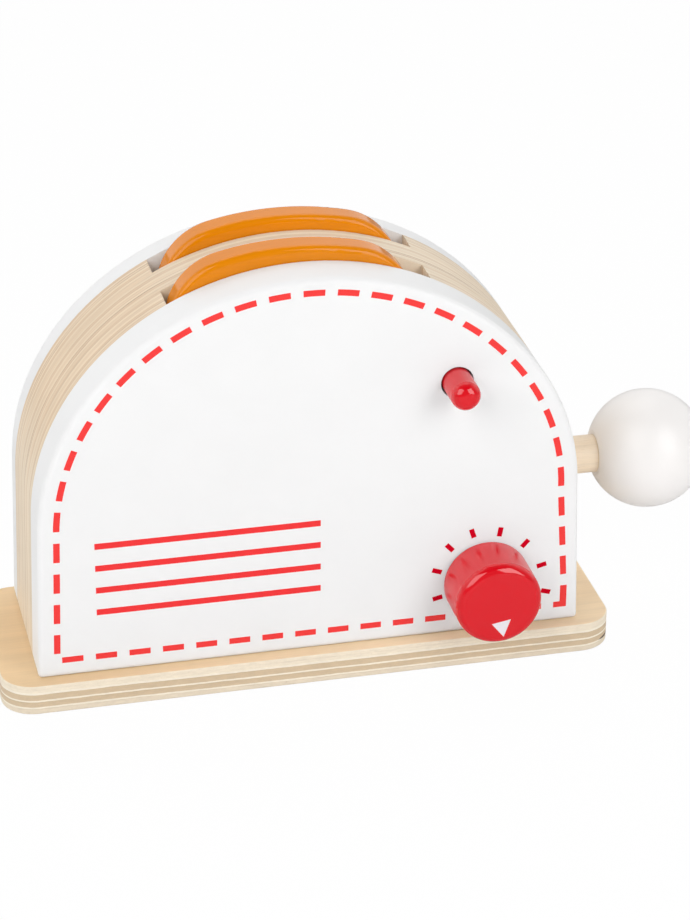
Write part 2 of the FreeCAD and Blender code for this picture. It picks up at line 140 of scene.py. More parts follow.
def bar_outline(x0, z0, x1, z1, width):
    """Outline of a straight bar between two points."""
    dx, dz = x1 - x0, z1 - z0
    length = math.hypot(dx, dz)
    nx, nz = -dz / length * width / 2, dx / length * width / 2
    return [(x0 + nx, z0 + nz), (x1 + nx, z1 + nz), (x1 - nx, z1 - nz), (x0 - nx, z0 - nz)]


# ---- the printed marks ------------------------------------------------------

def line_path():
    """(x, z) points up the right side, over the arch and down the left side."""
    drop = LINE_CENTRE_Z - LINE_FOOT_Z
    arch = []
    for step in range(PATH_STEPS + 1):
        angle = math.pi * step / PATH_STEPS
        sway = LINE_SWAY * math.sin(angle) ** LINE_SWAY_POWER
        arch.append((LINE_HALF_WIDTH * math.cos(angle) - sway,
                     LINE_CENTRE_Z + LINE_RISE * math.sin(angle)))
    foot_right = (LINE_HALF_WIDTH + LINE_LEAN_RIGHT * drop, LINE_FOOT_Z)
    foot_left = (-LINE_HALF_WIDTH - LINE_LEAN_LEFT * drop, LINE_FOOT_Z)
    return [foot_right] + arch + [foot_left]


def run_lengths(path):
    """Length run so far at each point of a path."""
    run = [0.0]
    for (x0, z0), (x1, z1) in zip(path, path[1:]):
        run.append(run[-1] + math.hypot(x1 - x0, z1 - z0))
    return run


def at_length(path, run, length):
    """Point of the path at a length along it, and the unit vector across it, as (x, z, nx, nz)."""
    index = 0
    while run[index + 1] < length and index < len(run) - 2:
        index += 1
    (x0, z0), (x1, z1) = path[index], path[index + 1]
    step = run[index + 1] - run[index]
    share = (length - run[index]) / step
    dx, dz = x1 - x0, z1 - z0
    return x0 + dx * share, z0 + dz * share, dz / step, -dx / step


def curved_dash(path, run, middle):
    """Outline of a dash that bends with the path."""
    outer, inner = [], []
    for step in range(DASH_STEPS + 1):
        x, z, nx, nz = at_length(path, run, middle + DASH_LENGTH * (step / DASH_STEPS - 0.5))
        outer.append((x + nx * DASH_WIDTH / 2, z + nz * DASH_WIDTH / 2))
        inner.append((x - nx * DASH_WIDTH / 2, z - nz * DASH_WIDTH / 2))
    return outer + inner[::-1]


def dash_middles(path, run):
    """Length along the path to the middle of each dash of the sides and the arch."""
    def nearest(side, height):
        return min((abs(z - height), length) for (x, z), length in zip(path, run)
                   if x * side > 0)[1]

    first, last = nearest(1, RIGHT_DASH_TOP_Z), nearest(-1, LEFT_DASH_TOP_Z)
    right = [first - SIDE_PITCH * (index + 1) for index in range(RIGHT_DASHES)]
    left = [last + SIDE_PITCH * (index + 1) for index in range(LEFT_DASHES)]
    arch = []
    for index in range(ARCH_STEPS + 1):
        share = index / ARCH_STEPS
        bow = ARCH_BOW * math.sin(math.pi * share ** ARCH_BOW_LEAN)
        arch.append(first + (last - first) * share + bow)
    return right + arch + left


def dash_outlines():
    """Dashes of the arch and its sides, of the foot line, and the right corner's angle."""
    path = line_path()
    run = run_lengths(path)
    dashes = [curved_dash(path, run, middle) for middle in dash_middles(path, run)]
    for index in range(FOOT_DASHES):
        middle = FIRST_FOOT_DASH_X + FOOT_PITCH * index
        left, right = middle - DASH_LENGTH / 2, middle + DASH_LENGTH / 2
        dashes.append(bar_outline(left, LINE_FOOT_Z, right, LINE_FOOT_Z, DASH_WIDTH))
    low, high = LINE_FOOT_Z - DASH_WIDTH / 2, LINE_FOOT_Z + DASH_WIDTH / 2
    inner = CORNER_RIGHT - CORNER_WIDTH
    dashes.append([(CORNER_LEFT, low), (CORNER_RIGHT, low), (CORNER_RIGHT, CORNER_TOP),
                   (inner, CORNER_TOP), (inner, high), (CORNER_LEFT, high)])
    return dashes


def printed(name, outlines, material):
    """Thin ink marks, half sunk into the front board."""
    verts, faces = [], []
    back, front = FRONT_FACE_Y + PRINT_THICKNESS, FRONT_FACE_Y - PRINT_THICKNESS
    for outline in outlines:
        add_plate(verts, faces, outline, back, front)
    return mesh_object(name, verts, faces, material, "body")


def tick_outlines():
    """The short bars round the dial."""
    marks = []
    for degrees in TICK_ANGLES:
        cos, sin = math.cos(math.radians(degrees)), math.sin(math.radians(degrees))
        x = TICK_X + TICK_REACH_X * cos + TICK_SKEW * sin
        z = TICK_Z + TICK_SKEW * cos + TICK_REACH_Z * sin
        aim = Vector((x - TICK_AIM_X, z - TICK_AIM_Z)).normalized() * TICK_LENGTH / 2
        marks.append(bar_outline(x - aim.x, z - aim.y, x + aim.x, z + aim.y, TICK_WIDTH))
    return marks


def stripe_outlines():
    return [bar_outline(STRIPE_LEFT, z, STRIPE_RIGHT, z, STRIPE_WIDTH) for z in STRIPE_HEIGHTS]


def dial_pointer(material):
    """White triangle on the knob's face, half sunk into it."""
    verts, faces = [], []
    back, front = DIAL_FACE_Y + POINTER_THICKNESS, DIAL_FACE_Y - POINTER_THICKNESS
    add_plate(verts, faces, POINTER, back, front)
    return mesh_object("dial_pointer", verts, faces, material, "dial")


# ---- the dial's knob --------------------------------------------------------

KNOB_EDGE_RADIUS, KNOB_BACK_RADIUS = 3.2, 0.5
TURN_STEPS = 144
ROUND_STEPS = 14
CORNER_ANGLE = 0.6        # radians; a sharper edge stays crisp under smooth shading


def rounding(reach, y, radius, forward):
    """Quarter round of a turned profile, from its side at reach to its flat end at y.

    forward is 1 where the end faces the front (-Y), and -1 where it faces the back.
    """
    points = []
    for step in range(ROUND_STEPS + 1):
        angle = math.pi / 2 * step / ROUND_STEPS
        points.append((reach - radius + radius * math.cos(angle),
                       y + forward * radius * (1 - math.sin(angle))))
    return points


def turned(name, profile, x, z, material, body):
    """Piece turned on a lathe along Y.

    The profile lists (radius, y) and starts and ends on the axis.
    """
    verts, faces = [(x, profile[0][1], z)], []
    for radius, y in profile[1:-1]:
        for step in range(TURN_STEPS):
            angle = 2 * math.pi * step / TURN_STEPS
            verts.append((x + radius * math.cos(angle), y, z + radius * math.sin(angle)))
    verts.append((x, profile[-1][1], z))
    last = len(verts) - 1
    rings = len(profile) - 2
    for step in range(TURN_STEPS):
        after = (step + 1) % TURN_STEPS
        faces.append([0, 1 + step, 1 + after])
        for ring in range(rings - 1):
            a, b = 1 + ring * TURN_STEPS, 1 + (ring + 1) * TURN_STEPS
            faces.append([a + step, b + step, b + after, a + after])
        end = 1 + (rings - 1) * TURN_STEPS
        faces.append([end + step, last, end + after])
    piece = mesh_object(name, verts, faces, material, body)
    smooth_but_for_corners(piece.data)
    return piece


def smooth_but_for_corners(data):
    """Smooth shading, with the sharp edges kept crisp."""
    mesh = bmesh.new()
    mesh.from_mesh(data)
    for face in mesh.faces:
        face.smooth = True
    for edge in mesh.edges:
        edge.smooth = len(edge.link_faces) == 2 and edge.calc_face_angle() < CORNER_ANGLE
    mesh.to_mesh(data)
    mesh.free()


def dial_knob(material):
    """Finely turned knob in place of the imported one, with the same sizes."""
    low, high = millimetres("dial_knob")
    shaft_low, shaft_high = millimetres("dial_shaft")
    reach, shaft = (high.x - low.x) / 2, (shaft_high.x - shaft_low.x) / 2
    profile = [(0, shaft_low.y), (shaft, shaft_low.y), (shaft, high.y)]
    profile += rounding(reach, high.y, KNOB_BACK_RADIUS, -1)[::-1]
    profile += rounding(reach, low.y, KNOB_EDGE_RADIUS, 1)
    profile.append((0, low.y))
    middle = (low + high) / 2
    knob = turned("turned_knob", profile, middle.x, middle.z, material, "dial")
    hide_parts("dial_knob")


# ---- springs ----------------------------------------------------------------

COIL_STEPS = 28           # points per turn
WIRE_SIDES = 10
CLOSED_PITCH = 1.05       # rise of the closed turn at either end, in wire thicknesses
LIFT_SPRING_WIRE, LIFT_SPRING_TURNS = 0.8, 6      # turns between the closed ones
BUTTON_SPRING_WIRE, LATCH_SPRING_WIRE = 0.5, 0.4
SMALL_SPRING_TURNS = 1


def coil_path(start, axis, length, radius, wire, turns):
    """(centre of the wire, direction away from the axis) along a coil with closed ends."""
    side = axis.orthogonal().normalized()
    other = axis.cross(side)
    seat = wire * CLOSED_PITCH
    total = turns + 2
    path = []
    for step in range(total * COIL_STEPS + 1):
        turn = step / COIL_STEPS
        if turn < 1:
            rise = turn * seat
        elif turn > total - 1:
            rise = length - wire - (total - turn) * seat
        else:
            rise = seat + (turn - 1) / (total - 2) * (length - wire - 2 * seat)
        angle = 2 * math.pi * turn
        out = side * math.cos(angle) + other * math.sin(angle)
        path.append((start + axis * (wire / 2 + rise) + out * radius, out))
    return path


def coil_spring(name, start, end, radius, wire, turns, material):
    """Round-wire spring from start to end."""
    axis = (end - start).normalized()
    length = (end - start).length
    verts, faces = [], []
    path = coil_path(start, axis, length, radius, wire, turns)
    for centre, out in path:
        for index in range(WIRE_SIDES):
            angle = 2 * math.pi * index / WIRE_SIDES
            verts.append(centre + (out * math.cos(angle) + axis * math.sin(angle)) * wire / 2)
    for step in range(len(path) - 1):
        for index in range(WIRE_SIDES):
            after = (index + 1) % WIRE_SIDES
            a, b = step * WIRE_SIDES, (step + 1) * WIRE_SIDES
            faces.append([a + index, b + index, b + after, a + after])
    faces.append(list(range(WIRE_SIDES)))
    faces.append(list(reversed(range(len(verts) - WIRE_SIDES, len(verts)))))
    spring = mesh_object(name, verts, faces, material, "body")
    for polygon in spring.data.polygons:
        polygon.use_smooth = True
    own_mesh(spring)
    return spring


def lift_springs(material):
    """The two springs under the lift block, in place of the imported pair."""
    low, high = millimetres("lift_springs")
    y = (low.y + high.y) / 2
    reach = (high.y - low.y) / 2
    radius = reach - LIFT_SPRING_WIRE / 2
    for name, x in (("lift_spring_left", low.x + reach), ("lift_spring_right", high.x - reach)):
        foot, head = Vector((x, y, low.z)), Vector((x, y, high.z))
        spring = coil_spring(name, foot, head, radius, LIFT_SPRING_WIRE, LIFT_SPRING_TURNS,
                             material)
    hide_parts("lift_springs")


def small_spring(name, node, wire, material, rear_fixed):
    """Spring along Y in place of an imported one, wound from its fixed end towards its free one."""
    low, high = millimetres(node)
    middle = (low + high) / 2
    front, rear = Vector((middle.x, low.y, middle.z)), Vector((middle.x, high.y, middle.z))
    start, end = (rear, front) if rear_fixed else (front, rear)
    radius = (high.z - low.z) / 2 - wire / 2
    spring = coil_spring(name, start, end, radius, wire, SMALL_SPRING_TURNS, material)
    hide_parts(node)


# ---- shader tools -----------------------------------------------------------

FACE_ON = (0.75, 0.9)     # how square to an axis a surface is when it counts as facing along it
BLOT_RIM = (0.7, 1.1)     # where a blot starts to fade, and where it is gone, in half axes
BEVEL_SAMPLES = 6


class Shade:
    """One material: short calls that add nodes and return their output socket."""

    def __init__(self, name):
        self.material = bpy.data.materials.new(name)
        self.material.use_nodes = True
        self.tree = self.material.node_tree
        self.tree.nodes.clear()
        self.end = self.add("OutputMaterial")
        self.surface = self.add("BsdfPrincipled")
        self.tree.links.new(self.surface.outputs[0], self.end.inputs[0])
        self.place = None

    def add(self, kind, **settings):
        node = self.tree.nodes.new("ShaderNode" + kind)
        for key, value in settings.items():
            setattr(node, key, value)
        return node

    def put(self, socket, value):
        """Sets a socket to a number, a colour or another node's output."""
        if isinstance(value, bpy.types.NodeSocket):
            self.tree.links.new(value, socket)
        elif isinstance(value, (tuple, list)) and socket.type == "RGBA":
            socket.default_value = (*value[:3], 1)
        else:
            socket.default_value = value

    def math(self, operation, a, b=0.0, clamp=False):
        node = self.add("Math", operation=operation, use_clamp=clamp)
        self.put(node.inputs[0], a)
        self.put(node.inputs[1], b)
        return node.outputs[0]

    def total(self, *values):
        """Sum of numbers and sockets."""
        result = values[0]
        for value in values[1:]:
            result = self.math("ADD", result, value)
        return result

    def millimetres(self):
        """Place on the piece in millimetres, fixed to it as it moves."""
        if self.place is None:
            source = self.add("TexCoord")
            node = self.add("VectorMath", operation="SCALE")
            self.put(node.inputs[0], source.outputs["Object"])
            node.inputs["Scale"].default_value = 1 / MM
            self.place = node.outputs[0]
        return self.place

    def split(self, vector):
        node = self.add("SeparateXYZ")
        self.put(node.inputs[0], vector)
        return node.outputs[0], node.outputs[1], node.outputs[2]

    def joined(self, x, y, z):
        node = self.add("CombineXYZ")
        for index, value in enumerate((x, y, z)):
            self.put(node.inputs[index], value)
        return node.outputs[0]

    def facing(self, axis):
        """1 where the surface looks along a row axis, 0 where it runs along it."""
        normal = self.split(self.add("NewGeometry").outputs["Normal"])
        return self.spread(self.math("ABSOLUTE", normal["xyz".index(axis)]), *FACE_ON)

    def noise(self, scale, offset=(0, 0, 0), detail=3.0, rough=0.55, distortion=0.0, vector=None):
        """Noise over the place, or over another vector, with each axis scaled.

        The offset only picks another part of the same endless pattern.
        """
        mapping = self.add("Mapping")
        self.put(mapping.inputs["Vector"], vector or self.millimetres())
        mapping.inputs["Scale"].default_value = scale
        mapping.inputs["Location"].default_value = offset
        node = self.add("TexNoise", noise_dimensions="3D")
        self.put(node.inputs["Vector"], mapping.outputs[0])
        node.inputs["Scale"].default_value = 1.0
        node.inputs["Detail"].default_value = detail
        node.inputs["Roughness"].default_value = rough
        node.inputs["Distortion"].default_value = distortion
        return node.outputs["Fac"]

    def ramp(self, value, stops, interpolation="LINEAR"):
        """Colour ramp; each stop is (position, grey or colour)."""
        node = self.add("ValToRGB")
        node.color_ramp.interpolation = interpolation
        elements = node.color_ramp.elements
        while len(elements) > 1:
            elements.remove(elements[-1])
        for index, (position, colour) in enumerate(stops):
            element = elements[0] if index == 0 else elements.new(position)
            element.position = position
            grey = not isinstance(colour, (tuple, list))
            element.color = (colour, colour, colour, 1) if grey else (*colour[:3], 1)
        self.put(node.inputs[0], value)
        return node.outputs[0]

    def spread(self, value, low, high, to_low=0.0, to_high=1.0):
        """Maps a range of a value onto another, and holds it there."""
        node = self.add("MapRange", clamp=True)
        for index, number in enumerate((value, low, high, to_low, to_high)):
            self.put(node.inputs[index], number)
        return node.outputs[0]

    def mix(self, share, a, b, blend="MIX"):
        """Colour a, turned to colour b, or blended with it, by a share."""
        node = self.add("Mix", data_type="RGBA", blend_type=blend)
        self.put(node.inputs[0], share)
        self.put(node.inputs[6], a)
        self.put(node.inputs[7], b)
        return node.outputs[2]

    def blot(self, colour, centre, size, stain):
        """Soft dark spot, an ellipsoid with half axes in millimetres."""
        offset = self.add("VectorMath", operation="SUBTRACT")
        self.put(offset.inputs[0], self.millimetres())
        offset.inputs[1].default_value = centre
        scaled = self.add("VectorMath", operation="DIVIDE")
        self.put(scaled.inputs[0], offset.outputs[0])
        scaled.inputs[1].default_value = size
        distance = self.add("VectorMath", operation="LENGTH")
        self.put(distance.inputs[0], scaled.outputs[0])
        share = self.spread(distance.outputs["Value"], *BLOT_RIM, 1.0, 0.0)
        return self.mix(share, colour, stain)

    def bump(self, height, distance_mm, strength=1.0, bevel_mm=0.0):
        """Surface relief, over edges that are softly rounded when a bevel is given."""
        node = self.add("Bump")
        node.inputs["Strength"].default_value = strength
        node.inputs["Distance"].default_value = distance_mm * MM
        self.put(node.inputs["Height"], height)
        if bevel_mm:
            bevel = self.add("Bevel", samples=BEVEL_SAMPLES)
            bevel.inputs["Radius"].default_value = bevel_mm * MM
            self.put(node.inputs["Normal"], bevel.outputs[0])
        self.put(self.surface.inputs["Normal"], node.outputs[0])

    def finish(self, colour, roughness, metallic=0.0, coat=0.0, coat_roughness=0.1, coat_ior=1.5,
               specular=0.5, bleed=None):
        """Fills in the surface and returns the material.

        bleed is the colour it gives the light that it throws on its neighbours.
        """
        if bleed:
            colour = self.mix(self.add("LightPath").outputs["Is Diffuse Ray"], colour, bleed)
        self.put(self.surface.inputs["Base Color"], colour)
        self.put(self.surface.inputs["Roughness"], roughness)
        self.surface.inputs["Metallic"].default_value = metallic
        self.surface.inputs["Coat Weight"].default_value = coat
        self.put(self.surface.inputs["Coat Roughness"], coat_roughness)
        self.surface.inputs["Coat IOR"].default_value = coat_ior
        self.surface.inputs["Specular IOR Level"].default_value = specular
        return self.material


def srgb(red, green, blue):
    """Linear colour from 0-255 values."""
    def linear(value):
        value /= 255
        return value / 12.92 if value <= 0.04045 else ((value + 0.055) / 1.055) ** 2.4
    return tuple(linear(value) for value in (red, green, blue))


# ---- wood -------------------------------------------------------------------

# Scale of noise that is drawn out along one axis, as wood fibres are.
ALONG = {"x": (0.035, 1.0, 1.0), "y": (1.0, 0.035, 1.0), "z": (1.0, 1.0, 0.035)}
BOARD_GRAIN = "x"         # face veneers run along the boards

# Lengths and places in millimetres.
ARCH_MIDDLE_Z = 45.0
ARCH_REACH = 90.0         # distance from that middle at which streaks keep their length
PLY_WAVE, PLY_RIPPLE = 0.2, 0.07         # how far veneers stray from straight, either way
GLUE_WIDTH = 0.27
PORE_SHARE, FLECK_SHARE = 0.22, 0.12     # how dark pores and flecks are, as a share of glue

# Painted light: the base's face is painted lighter towards the right end and darker on the left.
PAINTED_LIGHT_X = (-95.0, 40.0)    # x where a face leaves its own colour, and where its right one is full
# Painted shade: the body boards' edges are tinted darker high on the left, between these x and z.
SHADE_TINT_X = (-25.0, -50.0)    # x and z from which the deeper tint sets in, and where it is full
SHADE_TINT_Z = (70.0, 95.0)

# How dark each glue line is, from the front of a board to its back.
FRONT_SLOT_GLUE = (0.8, 0.65, 0.15, 0.2, 0.15, 0.35)
DIVIDER_GLUE = (0.25, 0.85, 0.95, 0.4, 0.25, 0.4, 0.3, 0.2)
REAR_SLOT_GLUE = (0.2, 0.3, 0.2, 0.65, 0.75, 0.35)


def scaled(vector, factor):
    return tuple(value * factor for value in vector)


def round_the_arch(shade):
    """Place on a body board as (length round the arch, depth, distance from the arch's middle)."""
    x, y, z = shade.split(shade.millimetres())
    rise = shade.math("SUBTRACT", z, ARCH_MIDDLE_Z)
    square = shade.math("ADD", shade.math("MULTIPLY", x, x), shade.math("MULTIPLY", rise, rise))
    turn = shade.math("ARCTAN2", x, rise)
    return shade.joined(shade.math("MULTIPLY", turn, ARCH_REACH), y, shade.math("SQRT", square))


def ply_stack(shade, stack):
    """Colour of a stack of veneers at each place, and where its glue lines are.

    The stack is (axis, start, veneers, lines): veneers lists (thickness, colour) from start up the
    axis; lines lists (place, width, darkness).
    """
    axis, start, veneers, lines = stack
    total = sum(thickness for thickness, _ in veneers)
    wave = shade.noise((0.012, 0.012, 0.012), (3.1, 0, 0), detail=1.0)
    ripple = shade.noise((0.2, 0.2, 0.2), (0, 7.7, 0), detail=2.0)
    depth = shade.split(shade.millimetres())["xyz".index(axis)]
    depth = shade.total(depth, -start, shade.spread(wave, 0.3, 0.7, -PLY_WAVE, PLY_WAVE),
                        shade.spread(ripple, 0.3, 0.7, -PLY_RIPPLE, PLY_RIPPLE))
    place = shade.math("DIVIDE", depth, total, clamp=True)
    stops, at = [], 0.0
    for thickness, colour in veneers:
        stops.append((at / total, colour))
        at += thickness
    marks = [(0.0, 0.0)]
    for at, width, darkness in lines:
        middle, half = at / total, width / total
        marks += [(middle - half, 0.0), (middle, darkness), (middle + half, 0.0)]
    return shade.ramp(place, stops, "CONSTANT"), shade.ramp(place, marks)


def ply_edge(shade, stack, glue, path):
    """Edge of plywood: its colour, its broken glue lines, and the long streaks along path."""
    gaps = shade.noise((0.03, 0.5, 0.03), (1, 2, 3), detail=4.0, vector=path)
    colour, line = ply_stack(shade, stack)
    line = shade.math("MULTIPLY", line, shade.spread(gaps, 0.40, 0.60, 0.15, 1.0), clamp=True)
    streak = shade.noise((0.02, 1.3, 0.35), (5, 3, 1), detail=4.0, rough=0.6, vector=path)
    fine = shade.noise((0.09, 3.6, 1.2), (2, 9, 4), detail=3.0, rough=0.6, vector=path)
    cloud = shade.noise((0.05, 0.12, 0.05), (9, 1, 4), detail=2.0, vector=path)
    pores = shade.noise((0.10, 3.2, 0.9), (7, 1, 8), detail=4.0, rough=0.65, vector=path)
    tone = shade.total(shade.spread(streak, 0.25, 0.75, 0.93, 1.06),
                       shade.spread(fine, 0.25, 0.75, -0.035, 0.03),
                       shade.spread(cloud, 0.3, 0.7, -0.03, 0.03))
    colour = shade.mix(1.0, colour, tone, "MULTIPLY")
    pitted = shade.math("MULTIPLY", shade.spread(pores, 0.63, 0.72), PORE_SHARE)
    return shade.mix(line, shade.mix(pitted, colour, glue), glue), line, streak


def ply_face(shade, face, painted_light_face, glue):
    """Face of plywood: its colour, and its fibres."""
    grain = ALONG[BOARD_GRAIN]
    fibre = shade.noise(scaled(grain, 1.7), (5, 3, 1), detail=4.0, rough=0.6)
    figure = shade.noise(scaled(grain, 0.16), (1, 6, 2), detail=2.0, distortion=0.8)
    flecks = shade.noise(scaled(grain, 3.6), (2, 8, 5), detail=3.0)
    tone = shade.total(shade.spread(fibre, 0.25, 0.75, 0.955, 1.03),
                       shade.spread(figure, 0.35, 0.65, -0.035, 0.025))
    # Painted light: the face is painted lighter towards the right end.
    if painted_light_face:
        x = shade.split(shade.millimetres())[0]
        face = shade.mix(shade.spread(x, *PAINTED_LIGHT_X), face, painted_light_face)
    colour = shade.mix(1.0, face, tone, "MULTIPLY")
    flecked = shade.math("MULTIPLY", shade.spread(flecks, 0.62, 0.74), FLECK_SHARE)
    return shade.mix(flecked, colour, glue), fibre


def plywood(name, stack, glue, streak, face, void_shade=None, painted_light_face=None, shade_tint=None):
    """Plywood whose edges show its veneers, with a grained face at either end of the stack.

    streak is a function that returns the vector that the edges' streaks follow; the face turns
    towards the right to a lighter colour that is painted light; a gap in an edge is drawn as a dark
    spot of painted shade, as blot takes it; the last tint is painted shade on the edges high on the
    left.
    """
    shade = Shade(name)
    edge, line, streaks = ply_edge(shade, stack, glue, streak(shade))
    # Painted shade: a gap in the edge is drawn as a dark spot, the shade inside it.
    if void_shade:
        edge = shade.blot(edge, *void_shade)
    # Painted shade: the edges are tinted darker high on the left.
    if shade_tint:
        x, _, z = shade.split(shade.millimetres())
        share = shade.math("MULTIPLY", shade.spread(x, *SHADE_TINT_X), shade.spread(z, *SHADE_TINT_Z))
        edge = shade.mix(share, edge, shade_tint, "MULTIPLY")
    flat, fibre = ply_face(shade, face, painted_light_face, glue)
    is_face = shade.facing(stack[0])
    relief = shade.math("SUBTRACT", shade.math("MULTIPLY", streaks, 0.5), line)
    height = shade.mix(is_face, relief, shade.math("MULTIPLY", fibre, 0.3))
    shade.bump(height, 0.04, 0.5, bevel_mm=0.3)
    return shade.finish(shade.mix(is_face, edge, flat), shade.spread(fibre, 0.2, 0.8, 0.44, 0.58),
                        specular=0.4, bleed=srgb(238, 225, 208))


def body_ply(name, node, darkness):
    """Bare edge of one of the three boards behind the white front.

    Its veneers are equally thick; darkness lists its glue lines.
    """
    low, high = millimetres(node)
    light, mid, deep = srgb(245, 229, 205), srgb(240, 221, 195), srgb(233, 211, 183)
    colours = (mid, light, deep, light)
    count = len(darkness) + 1
    ply = (high.y - low.y) / count
    veneers = [(ply, colours[index % len(colours)]) for index in range(count)]
    lines = [(ply * index, GLUE_WIDTH, darkness[index - 1]) for index in range(1, count)]
    # The last tint is painted shade, darker on the edges high on the left.
    return plywood(name, ("y", low.y, veneers, lines), srgb(148, 108, 76), round_the_arch, light,
                   shade_tint=srgb(249, 242, 235))


def base_ply(name):
    """Base board: two tan veneers between pale ones, under peach faces."""
    cream, tan = srgb(247, 234, 211), srgb(219, 196, 163)
    pale, low_cream = srgb(251, 241, 222), srgb(238, 224, 201)
    veneers = [(2.0, low_cream), (0.7, pale), (1.8, tan), (0.7, pale), (2.05, tan), (0.75, pale),
               (2.5, cream)]
    lines = [(2.0, 0.22, 0.35), (4.5, 0.22, 0.5), (7.2, 0.22, 0.45), (9.3, 0.3, 0.12)]
    # Painted shade: the dark spot stands for the shade inside a small gap in the right front corner
    # of the edge.
    void_shade = ((101.3, -29.0, 2.7), (4.5, 4.5, 0.5), srgb(84, 64, 50))
    # Painted light: the base's face is painted lighter towards its right end.
    return plywood(name, ("z", 0.0, veneers, lines), srgb(172, 136, 96), along_the_edge,
                   srgb(238, 205, 160), void_shade, painted_light_face=srgb(253, 226, 188))


def along_the_edge(shade):
    """Place on the base board as (length along either edge, height, depth)."""
    x, y, z = shade.split(shade.millimetres())
    return shade.joined(shade.math("ADD", x, y), z, shade.math("SUBTRACT", x, y))


def turned_wood(name, colour, dark, way, rough):
    """Solid beech with fine fibres and short dark flecks along one axis, its way."""
    shade = Shade(name)
    fibre = shade.noise(scaled(ALONG[way], 2.4), detail=4.0, rough=0.6)
    bands = shade.noise(scaled(ALONG[way], 0.33), detail=2.0, distortion=0.6)
    short = tuple(max(value, 0.12) * 3 for value in ALONG[way])
    fleck = shade.spread(shade.noise(short, (1, 4, 2)), 0.6, 0.72)
    tone = shade.total(shade.spread(fibre, 0.25, 0.75, 0.94, 1.04),
                       shade.spread(bands, 0.3, 0.7, -0.04, 0.03))
    tinted = shade.mix(1.0, colour, tone, "MULTIPLY")
    tinted = shade.mix(shade.math("MULTIPLY", fleck, 0.3), tinted, dark)
    shade.bump(fibre, 0.03, 0.5, bevel_mm=0.25)
    return shade.finish(tinted, shade.spread(fibre, 0.2, 0.8, rough, rough + 0.1))


# ---- paints, lacquer, metal and ink -----------------------------------------

def painted(name, colour, rough, coat=0.0, coat_rough=0.1, side_rough=None, peel_mm=0.004,
            bevel_mm=0.3, **more):
    """Sprayed paint: slight orange peel, cloudy gloss and a few fine scuffs.

    side_rough is the roughness of the coat on the sides of a piece turned along Y.
    """
    shade = Shade(name)
    peel = shade.noise((1.1, 1.1, 1.1), detail=2.0, rough=0.4)
    cloud = shade.noise((0.05, 0.05, 0.05), (4, 4, 4), detail=2.0)
    scuffs = shade.noise((0.9, 0.25, 3.5), (8, 1, 6), detail=5.0, rough=0.7)
    tinted = shade.mix(1.0, colour, shade.spread(cloud, 0.3, 0.7, 0.985, 1.0), "MULTIPLY")
    shade.bump(peel, peel_mm, bevel_mm=bevel_mm)
    gloss = shade.math("ADD", shade.spread(cloud, 0.3, 0.7, rough - 0.03, rough + 0.04),
                       shade.math("MULTIPLY", shade.spread(scuffs, 0.66, 0.74), 0.12))
    if side_rough:
        along = shade.math("ABSOLUTE", shade.split(shade.add("NewGeometry").outputs["Normal"])[1])
        coat_rough = shade.spread(along, 0.02, 0.15, side_rough, coat_rough)
    return shade.finish(tinted, gloss, coat=coat, coat_roughness=coat_rough, **more)


def toast_lacquer(name):
    """Stained board under glossy lacquer, with the wood's grain just showing."""
    shade = Shade(name)
    fibre = shade.noise(scaled(ALONG["x"], 1.3), detail=4.0, rough=0.6)
    cloud = shade.noise((0.035, 0.035, 0.06), (2, 2, 2), detail=3.0)
    tone = shade.total(shade.spread(fibre, 0.25, 0.75, 0.96, 1.03),
                       shade.spread(cloud, 0.3, 0.7, -0.04, 0.03))
    colour = shade.mix(1.0, srgb(234, 138, 0), tone, "MULTIPLY")
    ripple = shade.noise((0.35, 0.35, 0.35), detail=2.0)
    shade.bump(shade.math("ADD", ripple, shade.math("MULTIPLY", fibre, 0.25)), 0.02)
    return shade.finish(colour, 0.34, coat=1.0, coat_ior=1.38, specular=0.0,
                        bleed=srgb(236, 206, 180))


def metal(name, colour, rough, way):
    """Drawn or rolled metal with fine lines along one axis, its way."""
    shade = Shade(name)
    lines = shade.noise(scaled(ALONG[way], 9.0), detail=3.0, rough=0.6)
    tinted = shade.mix(1.0, colour, shade.spread(lines, 0.3, 0.7, 0.9, 1.05), "MULTIPLY")
    shade.bump(lines, 0.01, 0.6, bevel_mm=0.1)
    gloss = shade.spread(lines, 0.3, 0.7, rough - 0.05, rough + 0.1)
    return shade.finish(tinted, gloss, metallic=1.0)


def ink(name, colour, specular=0.25):
    """Screen print, slightly mottled."""
    shade = Shade(name)
    mottle = shade.noise((1.8, 1.8, 1.8), detail=3.0)
    tinted = shade.mix(1.0, colour, shade.spread(mottle, 0.3, 0.7, 0.965, 1.0), "MULTIPLY")
    shade.bump(mottle, 0.004)
    return shade.finish(tinted, 0.45, specular=specular)


# ---- putting it together ----------------------------------------------------

def give(material, *nodes):
    """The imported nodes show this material."""
    for node in nodes:
        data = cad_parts[node].data
        data.materials.clear()
        data.materials.append(material)


def dress_body():
    """The boards: white front and back, bare plywood between them and below."""
    white = painted("white_paint", srgb(246, 246, 246), 0.42, specular=0.35)
    give(white, "front_panel", "rear_panel")
    give(base_ply("base_ply"), "base_board")
    give(body_ply("front_slot_ply", "front_slot_frame", FRONT_SLOT_GLUE), "front_slot_frame")
    give(body_ply("divider_ply", "divider", DIVIDER_GLUE), "divider")
    give(body_ply("rear_slot_ply", "rear_slot_frame", REAR_SLOT_GLUE), "rear_slot_frame")


